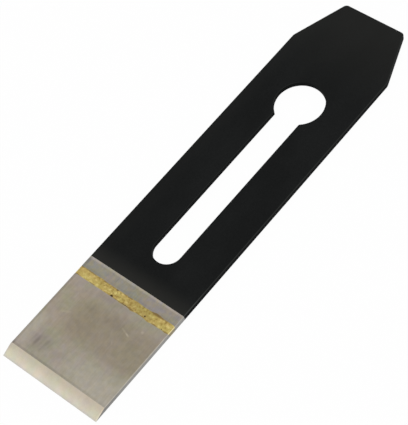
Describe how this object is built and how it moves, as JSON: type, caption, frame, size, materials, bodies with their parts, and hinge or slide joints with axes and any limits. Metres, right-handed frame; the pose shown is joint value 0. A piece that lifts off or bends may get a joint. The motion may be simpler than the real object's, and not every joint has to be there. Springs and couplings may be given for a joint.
{
  "type": "plane iron",
  "caption": "Flat plane iron: black-finished steel blank with a keyhole slot and clipped tail, and a bevelled hardened tip joined by a brass braze seam.",
  "frame": {"origin": "middle of the flat back, on the iron's centreline, halfway between the cutting edge and the tail end", "axes": "+Y from the cutting edge to the tail, +Z from the flat back to the bevel side, +X across the iron; the iron lies flat on its back"},
  "size_m": [0.044, 0.1896, 0.0023],
  "materials": {
    "black_finish": "matte",
    "braze_filler": "satin",
    "ground_steel": "satin"
  },
  "bodies": {
    "root": {"iron_body": "black_finish", "braze_seam": "braze_filler", "cutting_tip": "ground_steel"}
  },
  "joints": []
}
